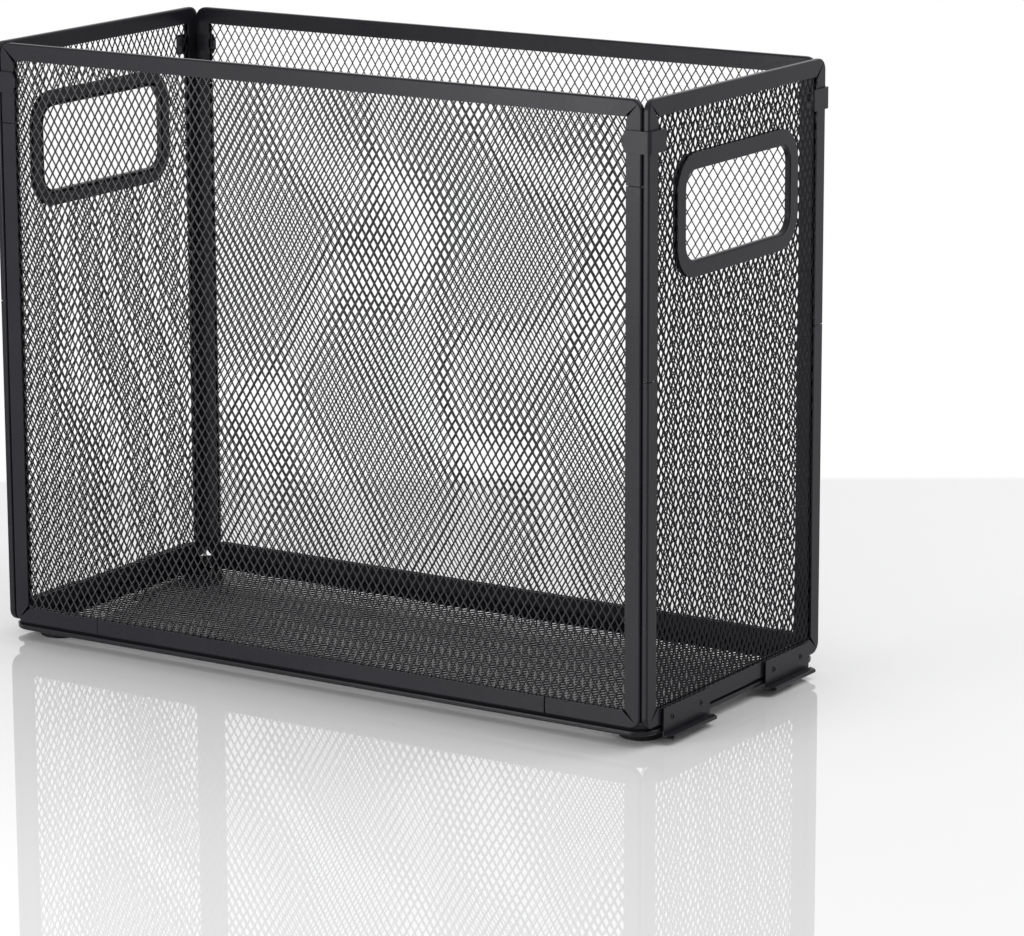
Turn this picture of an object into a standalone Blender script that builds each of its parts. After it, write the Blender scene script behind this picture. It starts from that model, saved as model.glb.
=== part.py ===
"""
Metal mesh storage basket, a desktop box for hanging folders.

Four framed walls of expanded metal stand on a framed base. Every frame is a sheet folded into a
channel that grips the edge of its mesh. The two long walls sit between the two end walls, a strap
is bent round each upright corner near the top, and two catches on each end wall hold the base.
The base slides straight down out of the catches.

Lengths are in metres and +Z is up. The long side runs along X and the front wall faces -Y.
The origin is on the ground under the middle of the basket.
"""

import math

import bmesh
import bpy
from mathutils import Vector

# Overall size over the faces of the wall frames
basket_length = 0.3200
basket_depth = 0.1400
wall_height = 0.2505

# Clearances between separate pieces
touch_gap = 0.0003
corner_gap = 0.0006
base_gap = 0.0010
cut_overrun = 0.0020
weld_distance = 0.000001

# Folded channel round each wall
channel_face = 0.0070
channel_thickness = 0.0028
channel_sheet = 0.0007
channel_edge_round = 0.0009
frame_corner_radius = 0.0050
mitre_width = 0.0007
mitre_web = 0.0012

# Where the strips of a frame meet
long_wall_leg = 0.0336
long_wall_foot = 0.0440
end_wall_leg = 0.1100

# Expanded metal, drawn as a coarse net of diamonds
wall_mesh_thickness = 0.0008
wall_mesh_bite = 0.0035
strand_width = 0.0022
long_wall_diamonds = (9, 5)
end_wall_diamonds = (4, 5)
base_mesh_thickness = 0.0006
base_mesh_bite = 0.0045
base_diamonds = (9, 3)

# Hand hole and the ring crimped round it
hand_hole_length = 0.0835
hand_hole_height = 0.0375
hand_hole_radius = 0.0080
hand_hole_below_top = 0.0308
ring_width = 0.0060
ring_sheet = 0.0006
ring_collar = 0.0007
ring_edge_round = 0.0004
ring_backing_sheet = 0.0005
mesh_rim_width = 0.0040
mesh_rim_step = 0.00005

# Straps round the upright corners
strap_height = 0.0088
strap_sheet = 0.0008
strap_below_top = 0.0120
strap_front_arm = 0.0119
strap_side_arm = 0.0116
strap_bend_radius = 0.0012
strap_hook_depth = 0.0007

# Catches on the end walls, each held by two rivets
catch_length = 0.0364
catch_from_edge = 0.0291
catch_sheet = 0.0010
catch_drop = 0.0036
catch_neck = 0.0006
catch_groove = 0.0004
catch_lip_reach = 0.0043
catch_lip_thickness = 0.0014
catch_lip_round = 0.0006
catch_corner_round = 0.0012
rivet_spacing = 0.0226
rivet_height = 0.0023
rivet_shank_radius = 0.0008
rivet_head_radius = 0.0013
rivet_head_height = 0.0004
rivet_tail_radius = 0.0012
rivet_tail_height = 0.0003
rivet_clearance = 0.0003

# Base frame and feet
base_face = 0.0094
base_thickness = 0.0022
base_sheet = 0.0005
base_edge_round = 0.0006
base_corner_radius = 0.0090
foot_radius = 0.0090
foot_height = 0.0049
foot_chamfer = 0.0008
foot_from_end = 0.0135
foot_from_front = 0.0180

# Smoothness of the round shapes
corner_steps = 4
ring_corner_steps = 5
base_corner_steps = 6
edge_round_steps = 2
foot_sides = 24
rivet_sides = 12
smooth_angle = math.radians(35)

# Heights and places that follow from the sizes above
base_bottom = foot_height
wall_bottom = base_bottom + base_thickness + base_gap
long_wall_length = basket_length - 2 * (channel_thickness + corner_gap)
mesh_front = (channel_thickness - wall_mesh_thickness) / 2
hand_hole_centre = wall_height - hand_hole_below_top - hand_hole_height / 2
quarter_turn = math.pi / 2

# Colours from the photograph: satin black powder coat, darker mesh and black rubber
coat_colour = (0.018, 0.018, 0.020)
mesh_colour = (0.014, 0.014, 0.016)
rubber_colour = (0.010, 0.010, 0.011)


def clear_scene():
    """Removes whatever the scene holds."""
    for item in list(bpy.data.objects):
        bpy.data.objects.remove(item, do_unlink=True)


def make_finish(name, colour, roughness, metallic):
    """Returns a Principled material."""
    finish = bpy.data.materials.new(name)
    finish.use_nodes = True
    shader = finish.node_tree.nodes["Principled BSDF"]
    shader.inputs["Base Color"].default_value = (*colour, 1.0)
    shader.inputs["Roughness"].default_value = roughness
    shader.inputs["Metallic"].default_value = metallic
    finish.diffuse_color = (*colour, 1.0)
    return finish


def coat_finish(name):
    """Satin powder coat on folded steel."""
    return make_finish(name + "_coat", coat_colour, roughness=0.42, metallic=0.0)


def mesh_finish(name):
    """The same coat on thin strands, which look a little darker."""
    return make_finish(name + "_coat", mesh_colour, roughness=0.50, metallic=0.0)


def rubber_finish(name):
    """Matt rubber of the feet."""
    return make_finish(name + "_rubber", rubber_colour, roughness=0.80, metallic=0.0)


def outward_mesh(name, bm):
    """Turns a bmesh into a mesh whose faces all point out."""
    bmesh.ops.recalc_face_normals(bm, faces=bm.faces)
    if bm.calc_volume(signed=True) < 0:
        bmesh.ops.reverse_faces(bm, faces=bm.faces)
    mesh = bpy.data.meshes.new(name)
    bm.to_mesh(mesh)
    bm.free()
    return mesh


def add_piece(name, bm, finish, parent=None):
    """Adds a named object with its own material."""
    mesh = outward_mesh(name, bm)
    mesh.shade_smooth()
    mesh.set_sharp_from_angle(angle=smooth_angle)
    mesh.materials.append(finish(name))
    piece = bpy.data.objects.new(name, mesh)
    bpy.context.collection.objects.link(piece)
    piece.parent = parent
    return piece


def add_cutter(name, bm, parent):
    """Adds a hidden guide for Boolean modifiers."""
    cutter = bpy.data.objects.new(name, outward_mesh(name, bm))
    bpy.context.collection.objects.link(cutter)
    cutter.parent = parent
    cutter.hide_render = True
    cutter.display_type = "WIRE"
    return cutter


def boolean(piece, other, operation):
    """Adds a live Boolean modifier."""
    modifier = piece.modifiers.new(other.name, "BOOLEAN")
    modifier.operation = operation
    modifier.object = other


def add_empty(name, location, turn=0.0, parent=None):
    """Adds an empty that carries a group of pieces."""
    empty = bpy.data.objects.new(name, None)
    bpy.context.collection.objects.link(empty)
    empty.location = location
    empty.rotation_euler = (0.0, 0.0, turn)
    empty.parent = parent
    return empty


def left_of(direction):
    """The direction a quarter turn to the left of a flat one."""
    return Vector((-direction.y, direction.x))


def path_rows(corners, radius, distances, steps, closed):
    """Rows of flat points that lie at the given distances inside a path with rounded left turns."""
    rows = []
    count = len(corners)
    for index, corner in enumerate(corners):
        before = corners[index - 1]
        after = corners[(index + 1) % count]
        if not closed and index in (0, count - 1):
            start, end = (corner, after) if index == 0 else (before, corner)
            inward = left_of((end - start).normalized())
            rows.append([corner + inward * distance for distance in distances])
            continue
        first = left_of((corner - before).normalized())
        second = left_of((after - corner).normalized())
        centre = corner + (first + second) * radius
        for step in range(steps + 1):
            angle = quarter_turn * step / steps
            inward = first * math.cos(angle) + second * math.sin(angle)
            rows.append([
                centre + (inward if distance < radius else first + second) * (distance - radius)
                for distance in distances
            ])
    return rows


def sweep(section, corners, radius, steps, closed):
    """Carries a section of (distance in from the edge, depth) pairs round an upright path."""
    bm = bmesh.new()
    distances = [distance for distance, _ in section]
    loops = [
        [bm.verts.new((point.x, depth, point.y)) for point, (_, depth) in zip(row, section)]
        for row in path_rows(corners, radius, distances, steps, closed)
    ]
    ends = loops[1:] + (loops[:1] if closed else [])
    for loop, following in zip(loops, ends):
        for index in range(len(section)):
            bm.faces.new((loop[index - 1], loop[index], following[index], following[index - 1]))
    if not closed:
        bm.faces.new(loops[0])
        bm.faces.new(reversed(loops[-1]))
    bmesh.ops.remove_doubles(bm, verts=bm.verts, dist=weld_distance)
    return bm


def channel_section(face, thickness, sheet, rounding):
    """Section of a sheet folded into a channel, open away from its outer edge."""
    section = [(face, 0.0)]
    for step in range(edge_round_steps + 1):
        angle = quarter_turn * step / edge_round_steps
        section.append((rounding * (1 - math.sin(angle)), rounding * (1 - math.cos(angle))))
    for step in range(edge_round_steps + 1):
        angle = quarter_turn * step / edge_round_steps
        section.append((rounding * (1 - math.cos(angle)),
                        thickness - rounding * (1 - math.sin(angle))))
    section += [(face, thickness), (face, thickness - sheet), (sheet, thickness - sheet),
                (sheet, sheet), (face, sheet)]
    return section


def rounded_outline(length, height, radius, steps, centre=(0.0, 0.0)):
    """Flat points round a rectangle with round corners."""
    middle = Vector(centre)
    corners = [
        middle + Vector((side_x * length / 2, side_y * height / 2))
        for side_x, side_y in ((1, -1), (1, 1), (-1, 1), (-1, -1))
    ]
    return [row[0] for row in path_rows(corners, radius, [0.0], steps, closed=True)]


def prism(points, direction):
    """Extrudes a flat polygon of points along a direction."""
    bm = bmesh.new()
    outline = bm.faces.new([bm.verts.new(point) for point in points])
    grown = bmesh.ops.extrude_face_region(bm, geom=[outline])["geom"]
    moved = [item for item in grown if isinstance(item, bmesh.types.BMVert)]
    bmesh.ops.translate(bm, vec=direction, verts=moved)
    return bm


def diamond_net(length, height, counts, strand, edge, thickness, low):
    """A flat panel of diamond gaps, centred on X, with its lower edge at the given height."""
    columns, rows = counts
    half_x, half_z = length / columns / 2, height / rows / 2
    diagonal = math.hypot(half_x, half_z)
    gap_x = half_x - strand / 2 * diagonal / half_z
    gap_z = half_z - strand / 2 * diagonal / half_x
    bm = bmesh.new()

    def point(x, z):
        return bm.verts.new((x - length / 2, 0.0, z + low))

    def framed(outer, inner):
        ring_out = [point(*corner) for corner in outer]
        ring_in = [point(*corner) for corner in inner]
        for index in range(len(outer)):
            bm.faces.new((ring_out[index - 1], ring_out[index], ring_in[index], ring_in[index - 1]))

    def half_diamond(x, z, out_x, out_z):
        along_x, along_z = abs(out_z), abs(out_x)
        inner_share = 1 - edge / (gap_x if out_x else gap_z)
        outer, inner = [], []
        for side in (-1, 1):
            outer.append((x + side * along_x * half_x, z + side * along_z * half_z))
            inner.append((x - out_x * edge + side * along_x * gap_x * inner_share,
                          z - out_z * edge + side * along_z * gap_z * inner_share))
        outer.append((x - out_x * half_x, z - out_z * half_z))
        inner.append((x - out_x * gap_x, z - out_z * gap_z))
        framed(outer, inner)

    steps = ((1, 0), (0, 1), (-1, 0), (0, -1))
    for column in range(1, 2 * columns):
        for row in range(1, 2 * rows):
            if (column + row) % 2 == 0:
                x, z = column * half_x, row * half_z
                framed([(x + sx * half_x, z + sz * half_z) for sx, sz in steps],
                       [(x + sx * gap_x, z + sz * gap_z) for sx, sz in steps])
    for column in range(1, columns):
        half_diamond(column * 2 * half_x, 0.0, 0, -1)
        half_diamond(column * 2 * half_x, height, 0, 1)
    for row in range(1, rows):
        half_diamond(0.0, row * 2 * half_z, -1, 0)
        half_diamond(length, row * 2 * half_z, 1, 0)
    corner_share = 1 - strand / 2 * diagonal / (half_x * half_z)
    reach_x = half_x * (corner_share - edge / half_z)
    reach_z = half_z * (corner_share - edge / half_x)
    for x, side_x in ((0.0, 1), (length, -1)):
        for z, side_z in ((0.0, 1), (height, -1)):
            framed([(x, z), (x + side_x * half_x, z), (x, z + side_z * half_z)],
                   [(x + side_x * edge, z + side_z * edge), (x + side_x * reach_x, z + side_z * edge),
                    (x + side_x * edge, z + side_z * reach_z)])

    bmesh.ops.remove_doubles(bm, verts=bm.verts, dist=weld_distance)
    bmesh.ops.recalc_face_normals(bm, faces=bm.faces)
    grown = bmesh.ops.extrude_face_region(bm, geom=list(bm.faces))["geom"]
    moved = [item for item in grown if isinstance(item, bmesh.types.BMVert)]
    bmesh.ops.translate(bm, vec=(0.0, thickness, 0.0), verts=moved)
    return bm


def mitre_cutter(name, corners, parent):
    """Thin blocks that open the folded faces along the diagonal of each frame corner."""
    web_start = (channel_sheet + mitre_web - frame_corner_radius) * math.sqrt(0.5)
    start = frame_corner_radius + web_start
    end = channel_face + cut_overrun
    bm = bmesh.new()
    for corner, inward in corners:
        along = inward.normalized()
        across = left_of(along) * mitre_width / 2
        near, far = corner + inward * start, corner + inward * end
        low = [bm.verts.new((point.x, -cut_overrun, point.y))
               for point in (near - across, near + across, far + across, far - across)]
        block = bmesh.ops.extrude_face_region(bm, geom=[bm.faces.new(low)])["geom"]
        moved = [item for item in block if isinstance(item, bmesh.types.BMVert)]
        bmesh.ops.translate(bm, vec=(0.0, channel_thickness + 2 * cut_overrun, 0.0), verts=moved)
    return add_cutter(name, bm, parent)


def frame_strip(name, path, parent):
    """One strip of a wall frame, with an open mitre at each corner that it turns."""
    section = channel_section(channel_face, channel_thickness, channel_sheet, channel_edge_round)
    bm = sweep(section, path, frame_corner_radius, corner_steps, closed=False)
    strip = add_piece(name, bm, coat_finish, parent)
    turns = []
    for before, corner, after in zip(path, path[1:], path[2:]):
        inward = left_of((corner - before).normalized()) + left_of((after - corner).normalized())
        turns.append((corner, inward))
    if turns:
        boolean(strip, mitre_cutter(name + "_mitre_cutter", turns, parent), "DIFFERENCE")
    return strip


def wall_net(name, length, counts, parent):
    """The mesh of a wall, with its edges inside the channel."""
    inset = channel_face - wall_mesh_bite
    bm = diamond_net(length - 2 * inset, wall_height - 2 * inset, counts, strand_width,
                     wall_mesh_bite, wall_mesh_thickness, inset)
    bmesh.ops.translate(bm, vec=(0.0, mesh_front, 0.0), verts=bm.verts)
    return add_piece(name, bm, mesh_finish, parent)


def long_wall(name, turn, location):
    """A long wall: three-sided top strip, two corner strips, a bottom strip and the mesh."""
    wall = add_empty(name + "_wall", location, turn)
    half = long_wall_length / 2
    leg_end = wall_height - long_wall_leg
    foot_end = half - long_wall_foot
    sides = {-1: "left", 1: "right"} if name == "front" else {-1: "right", 1: "left"}
    frame_strip(name + "_frame_top", [
        Vector((half, leg_end)), Vector((half, wall_height)),
        Vector((-half, wall_height)), Vector((-half, leg_end)),
    ], wall)
    frame_strip(name + "_frame_" + sides[-1], [
        Vector((-half, leg_end - touch_gap)), Vector((-half, 0.0)), Vector((-foot_end, 0.0)),
    ], wall)
    frame_strip(name + "_frame_" + sides[1], [
        Vector((foot_end, 0.0)), Vector((half, 0.0)), Vector((half, leg_end - touch_gap)),
    ], wall)
    frame_strip(name + "_frame_bottom", [
        Vector((-foot_end + touch_gap, 0.0)), Vector((foot_end - touch_gap, 0.0)),
    ], wall)
    wall_net(name + "_mesh", long_wall_length, long_wall_diamonds, wall)


def handle_section(inner_distance, front, back, rounding):
    """Section of a flat ring from its outer edge to the given distance in."""
    return [(0.0, front + rounding), (rounding, front), (inner_distance - rounding, front),
            (inner_distance, front + rounding), (inner_distance, back), (0.0, back)]


def handle_corners():
    """Corners of the handle ring's outer outline in its wall."""
    half_x, half_z = hand_hole_length / 2 + ring_width, hand_hole_height / 2 + ring_width
    return [Vector((side_x * half_x, hand_hole_centre + side_z * half_z))
            for side_x, side_z in ((-1, -1), (1, -1), (1, 1), (-1, 1))]


def handle_ring(name, wall):
    """Outer ring whose collar passes through the mesh, and the flat ring crimped on behind."""
    outer_radius = hand_hole_radius + ring_width
    plate_back = mesh_front - touch_gap
    plate_front = plate_back - ring_sheet
    backing_front = mesh_front + wall_mesh_thickness + touch_gap
    backing_back = backing_front + ring_backing_sheet
    collar_start = ring_width - ring_collar
    section = handle_section(ring_width, plate_front, backing_back, ring_edge_round)[:-1]
    section += [(collar_start, backing_back), (collar_start, plate_back), (0.0, plate_back)]
    bm = sweep(section, handle_corners(), outer_radius, ring_corner_steps, closed=True)
    add_piece(name + "_handle_ring", bm, coat_finish, wall)
    backing = [(0.0, backing_front), (collar_start - touch_gap, backing_front),
               (collar_start - touch_gap, backing_back), (0.0, backing_back)]
    bm = sweep(backing, handle_corners(), outer_radius, ring_corner_steps, closed=True)
    add_piece(name + "_handle_backing", bm, coat_finish, wall)


def open_net_for_hand(name, net, wall):
    """Gives an end wall's mesh the solid rim under the ring and cuts the hand hole."""
    rim_front = mesh_front + mesh_rim_step
    rim_depth = wall_mesh_thickness - 2 * mesh_rim_step
    hole_margin = ring_collar + touch_gap
    for label, margin, front, depth, operation in (
        ("rim", mesh_rim_width, rim_front, rim_depth, "UNION"),
        ("hole", hole_margin, -cut_overrun, channel_thickness + 2 * cut_overrun, "DIFFERENCE"),
    ):
        outline = rounded_outline(hand_hole_length + 2 * margin, hand_hole_height + 2 * margin,
                                  hand_hole_radius + margin, ring_corner_steps, (0.0, hand_hole_centre))
        bm = prism([(point.x, front, point.y) for point in outline], (0.0, depth, 0.0))
        boolean(net, add_cutter(name + "_mesh_" + label + "_cutter", bm, wall), operation)


def catch_places():
    """Distances of the two catches from an end wall's middle."""
    reach = basket_depth / 2 - catch_from_edge
    return (-reach, reach)


def rivet_places():
    """Distances of the four rivets from an end wall's middle."""
    return [place + side * rivet_spacing / 2 for place in catch_places() for side in (-1, 1)]


def round_bar(places, radius, front, depth, height):
    """Closed round bars along Y at the given places."""
    bm = bmesh.new()
    for place in places:
        disc = bmesh.ops.create_circle(bm, cap_ends=True, radius=radius, segments=rivet_sides)["verts"]
        face = disc[0].link_faces[0]
        for vert in disc:
            vert.co = Vector((place + vert.co.x, front, height + vert.co.y))
        grown = bmesh.ops.extrude_face_region(bm, geom=[face])["geom"]
        moved = [item for item in grown if isinstance(item, bmesh.types.BMVert)]
        bmesh.ops.translate(bm, vec=(0.0, depth, 0.0), verts=moved)
    return bm


def end_wall(name, turn, location):
    """An end wall: upper and lower strips, the mesh, the handle and the two catches."""
    wall = add_empty(name + "_wall", location, turn)
    half = basket_depth / 2
    leg_end = wall_height - end_wall_leg
    frame_strip(name + "_frame_top", [
        Vector((half, leg_end)), Vector((half, wall_height)),
        Vector((-half, wall_height)), Vector((-half, leg_end)),
    ], wall)
    lower = frame_strip(name + "_frame_bottom", [
        Vector((-half, leg_end - touch_gap)), Vector((-half, 0.0)),
        Vector((half, 0.0)), Vector((half, leg_end - touch_gap)),
    ], wall)
    bm = round_bar(rivet_places(), rivet_shank_radius + rivet_clearance, -cut_overrun,
                   channel_thickness / 2 + cut_overrun, rivet_height)
    boolean(lower, add_cutter(name + "_frame_rivet_cutter", bm, wall), "DIFFERENCE")
    net = wall_net(name + "_mesh", basket_depth, end_wall_diamonds, wall)
    open_net_for_hand(name, net, wall)
    handle_ring(name, wall)
    for place in catch_places():
        add_catch(name, place, wall)


def catch_outline():
    """Section of a catch as (outward, height) pairs: plate, groove and turned-out lip."""
    inner = touch_gap
    outer = inner + catch_sheet
    plate_low = -catch_drop
    lip_high = plate_low - catch_groove
    lip_low = lip_high - catch_lip_thickness
    tip = outer + catch_lip_reach
    return [
        (inner, channel_face), (outer, channel_face), (outer, plate_low),
        (inner + catch_neck, plate_low), (inner + catch_neck, lip_high),
        (tip - catch_lip_round, lip_high), (tip, lip_high - catch_lip_round),
        (tip, lip_low + catch_lip_round), (tip - catch_lip_round, lip_low), (inner, lip_low),
    ]


def wall_side_name(name, place):
    """Says whether a place along an end wall is towards the front or the back."""
    towards_front = place < 0 if name == "right" else place > 0
    return "front" if towards_front else "back"


def add_catch(name, place, wall):
    """A catch and the two rivets that hold it to the wall's bottom channel."""
    label = name + "_" + wall_side_name(name, place)
    start = place - catch_length / 2
    bm = prism([(start, -outward, height) for outward, height in catch_outline()],
               (catch_length, 0.0, 0.0))
    plate_corners = [
        edge for edge in bm.edges
        if all(vert.co.z > channel_face - weld_distance for vert in edge.verts)
        and abs(edge.verts[0].co.x - edge.verts[1].co.x) < weld_distance
    ]
    bmesh.ops.bevel(bm, geom=plate_corners, offset=catch_corner_round, offset_type="OFFSET",
                    segments=edge_round_steps, affect="EDGES", profile=0.5, material=-1)
    catch = add_piece("catch_" + label, bm, coat_finish, wall)
    own_rivets = [place + side * rivet_spacing / 2 for side in (-1, 1)]
    bm = round_bar(own_rivets, rivet_shank_radius + rivet_clearance,
                   -(touch_gap + catch_sheet + cut_overrun),
                   catch_sheet + 2 * cut_overrun, rivet_height)
    boolean(catch, add_cutter("catch_" + label + "_rivet_cutter", bm, wall), "DIFFERENCE")
    for side, rivet_place in zip(("a", "b"), own_rivets):
        add_rivet("rivet_" + label + "_" + side, rivet_place, wall)


def add_rivet(name, place, wall):
    """A flat-headed rivet through the catch and the channel's outer face."""
    head_under = -(touch_gap + catch_sheet + touch_gap)
    tail_start = channel_sheet + touch_gap
    profile = [
        (0.0, head_under - rivet_head_height),
        (rivet_head_radius - rivet_head_height, head_under - rivet_head_height),
        (rivet_head_radius, head_under),
        (rivet_shank_radius, head_under),
        (rivet_shank_radius, tail_start),
        (rivet_tail_radius, tail_start),
        (rivet_tail_radius, tail_start + rivet_tail_height),
        (0.0, tail_start + rivet_tail_height),
    ]
    bm = turned(profile, rivet_sides, Vector((0.0, 1.0, 0.0)))
    rivet = add_piece(name, bm, coat_finish, wall)
    rivet.location = (place, 0.0, rivet_height)


def turned(profile, sides, axis):
    """Spins a profile of (radius, distance along the axis) pairs into a closed solid."""
    bm = bmesh.new()
    radial = Vector((1.0, 0.0, 0.0))
    verts = [bm.verts.new(radial * radius + axis * distance) for radius, distance in profile]
    edges = [bm.edges.new(pair) for pair in zip(verts, verts[1:])]
    bmesh.ops.spin(bm, geom=verts + edges, cent=(0.0, 0.0, 0.0), axis=axis, dvec=(0.0, 0.0, 0.0),
                   angle=2 * math.pi, steps=sides, use_merge=True)
    bmesh.ops.remove_doubles(bm, verts=bm.verts, dist=weld_distance)
    return bm


def add_strap(label, side_x, side_y):
    """A strap bent round one upright corner, with its ends turned in past the frame edges."""
    face_x, face_y = basket_length / 2, basket_depth / 2
    inner_x, inner_y = face_x + touch_gap, face_y + touch_gap
    outer_x, outer_y = inner_x + strap_sheet, inner_y + strap_sheet
    front_end, side_end = face_x - strap_front_arm, face_y - strap_side_arm
    hook_x, hook_y = face_x - strap_hook_depth, face_y - strap_hook_depth
    bend = []
    for step in range(corner_steps + 1):
        angle = quarter_turn * step / corner_steps
        bend.append((outer_x - strap_bend_radius * (1 - math.sin(angle)),
                     outer_y - strap_bend_radius * (1 - math.cos(angle))))
    outline = [(front_end, outer_y)] + bend + [
        (outer_x, side_end), (hook_x, side_end), (hook_x, side_end + strap_sheet),
        (inner_x, side_end + strap_sheet), (inner_x, inner_y),
        (front_end + strap_sheet, inner_y), (front_end + strap_sheet, hook_y), (front_end, hook_y),
    ]
    low = wall_bottom + wall_height - strap_below_top - strap_height
    bm = prism([(side_x * x, side_y * y, low) for x, y in outline], (0.0, 0.0, strap_height))
    add_piece("strap_" + label, bm, coat_finish)


def add_base():
    """The base frame, its mesh and four feet, all carried by the empty on the sliding axis."""
    base = add_empty("base", (0.0, 0.0, base_bottom))
    section = channel_section(base_face, base_thickness, base_sheet, base_edge_round)
    corners = [Vector((side_x * basket_length / 2, side_y * basket_depth / 2))
               for side_x, side_y in ((-1, -1), (1, -1), (1, 1), (-1, 1))]
    bm = sweep(section, corners, base_corner_radius, base_corner_steps, closed=True)
    lay_flat(bm)
    add_piece("base_frame", bm, coat_finish, base)
    inset = base_face - base_mesh_bite
    depth = basket_depth - 2 * inset
    bm = diamond_net(basket_length - 2 * inset, depth, base_diamonds, strand_width,
                     base_mesh_bite, base_mesh_thickness, -depth / 2)
    bmesh.ops.translate(bm, vec=(0.0, (base_thickness - base_mesh_thickness) / 2, 0.0), verts=bm.verts)
    lay_flat(bm)
    add_piece("base_mesh", bm, mesh_finish, base)
    for side_y, row in ((-1, "front"), (1, "back")):
        for side_x, column in ((-1, "left"), (1, "right")):
            add_foot("foot_" + row + "_" + column, side_x, side_y, base)


def lay_flat(bm):
    """Turns an upright panel with its depth along +Y into a level one with its depth along +Z."""
    for vert in bm.verts:
        vert.co = Vector((vert.co.x, vert.co.z, vert.co.y))


def add_foot(name, side_x, side_y, base):
    """A round rubber foot under a corner of the base frame."""
    top = -touch_gap
    profile = [
        (0.0, top), (foot_radius, top), (foot_radius, foot_chamfer - foot_height),
        (foot_radius - foot_chamfer, -foot_height), (0.0, -foot_height),
    ]
    foot = add_piece(name, turned(profile, foot_sides, Vector((0.0, 0.0, 1.0))), rubber_finish, base)
    foot.location = (side_x * (basket_length / 2 - foot_from_end),
                     side_y * (basket_depth / 2 - foot_from_front), 0.0)


def build():
    """Makes the whole basket."""
    clear_scene()
    half_length, half_depth = basket_length / 2, basket_depth / 2
    long_wall("front", 0.0, (0.0, -half_depth, wall_bottom))
    long_wall("back", math.pi, (0.0, half_depth, wall_bottom))
    end_wall("right", quarter_turn, (half_length, 0.0, wall_bottom))
    end_wall("left", -quarter_turn, (-half_length, 0.0, wall_bottom))
    for side_y, row in ((-1, "front"), (1, "back")):
        for side_x, column in ((-1, "left"), (1, "right")):
            add_strap(row + "_" + column, side_x, side_y)
    add_base()


build()
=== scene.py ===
"""
Looks of the metal mesh storage basket.

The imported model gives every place. Each wall, seen from outside, is made flat in its own frame:
X runs along the wall, Y goes in from its outer face and Z goes up from its lower edge. It is then
turned to its side of the basket. The base panel is made the same way and laid down.
"""

import math

import bmesh
import bpy
from mathutils import Matrix, Vector


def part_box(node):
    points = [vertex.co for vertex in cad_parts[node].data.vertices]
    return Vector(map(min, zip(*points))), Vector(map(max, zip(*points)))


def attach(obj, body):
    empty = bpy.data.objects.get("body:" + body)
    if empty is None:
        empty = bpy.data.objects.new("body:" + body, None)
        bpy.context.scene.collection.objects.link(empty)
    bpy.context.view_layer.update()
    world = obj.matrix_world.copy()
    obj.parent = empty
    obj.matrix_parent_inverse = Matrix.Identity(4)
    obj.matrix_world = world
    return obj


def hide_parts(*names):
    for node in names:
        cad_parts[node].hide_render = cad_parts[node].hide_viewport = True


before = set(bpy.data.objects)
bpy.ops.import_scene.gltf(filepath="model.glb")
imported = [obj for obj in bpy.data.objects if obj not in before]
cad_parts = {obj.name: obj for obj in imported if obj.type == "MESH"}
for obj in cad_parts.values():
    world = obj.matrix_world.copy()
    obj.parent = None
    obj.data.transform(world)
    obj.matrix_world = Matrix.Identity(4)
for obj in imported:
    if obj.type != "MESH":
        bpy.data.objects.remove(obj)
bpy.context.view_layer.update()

# Overall places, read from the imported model
end_low, end_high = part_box("right_frame_top")
lower_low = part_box("right_frame_bottom")[0]
base_low, base_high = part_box("base_frame")
long_low, long_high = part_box("front_frame_top")
basket_length = 2 * end_high.x
basket_depth = end_high.y - end_low.y
wall_bottom = lower_low.z
wall_height = end_high.z - wall_bottom
long_wall_length = long_high.x - long_low.x
channel_thickness = end_high.x - end_low.x
base_bottom = base_low.z
base_thickness = base_high.z - base_low.z

# Folded channel round each wall
channel_face = 0.0070
channel_sheet = 0.0007
channel_edge_round = 0.0007
frame_corner_radius = 0.0050
corner_segments = 10
edge_segments = 4
rim_soften = 0.00014
soften_segments = 2
sharp_angle = 40.0
top_notch_width = 0.0012
top_notch_length = 0.0080
foot_notch_width = 0.0013
foot_notch_length = 0.0066
notch_margin = 1.7
seam_gap = 0.00038
# At the foot of a long wall, on its left and on its right
foot_seam_gaps = {-1: 0.00028, 1: 0.00065}

# Where the strips of a frame meet
long_wall_leg = 0.0336
long_wall_foot = 0.0440
end_wall_leg = 0.1100

# Expanded metal
diamond_width = 0.00386
diamond_height = 0.00628
strand_crown = 0.00004
tip_share = 0.95
sheet_warp = 0.00035
# For each wave of the warp: its share, its turns along and up the sheet and its share of the phase
warp_along = ((1.0, 11.0, 52.0, 1.0), (0.6, 97.0, -23.0, 2.0))
warp_up = ((1.0, 61.0, 17.0, -1.0), (0.6, 31.0, 83.0, 3.0))
panel_depth = 0.0014
net_sharp_angle = 75.0
base_net_sharp_angle = 12.0
# For each panel: columns and rows of diamonds and their scale, then width, thickness and tilt of
# the strands, width of the bonds and phase of the warp
nets = {
    "front": (79, 39, 1.0, 0.00046, 0.00032, -0.00008, 0.00092, 0.4),
    "back": (76, 37, 1.055, 0.00036, 0.00026, 0.00008, 0.00064, 2.9),
    "left": (35, 39, 1.0, 0.00041, 0.00024, 0.00009, 0.00078, 1.9),
    "right": (35, 39, 1.0, 0.00050, 0.00032, 0.00017, 0.00090, 4.1),
    "base": (81, 21, 1.0, 0.00044, 0.00055, 0.00018, 0.00150, 1.3),
}

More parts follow.
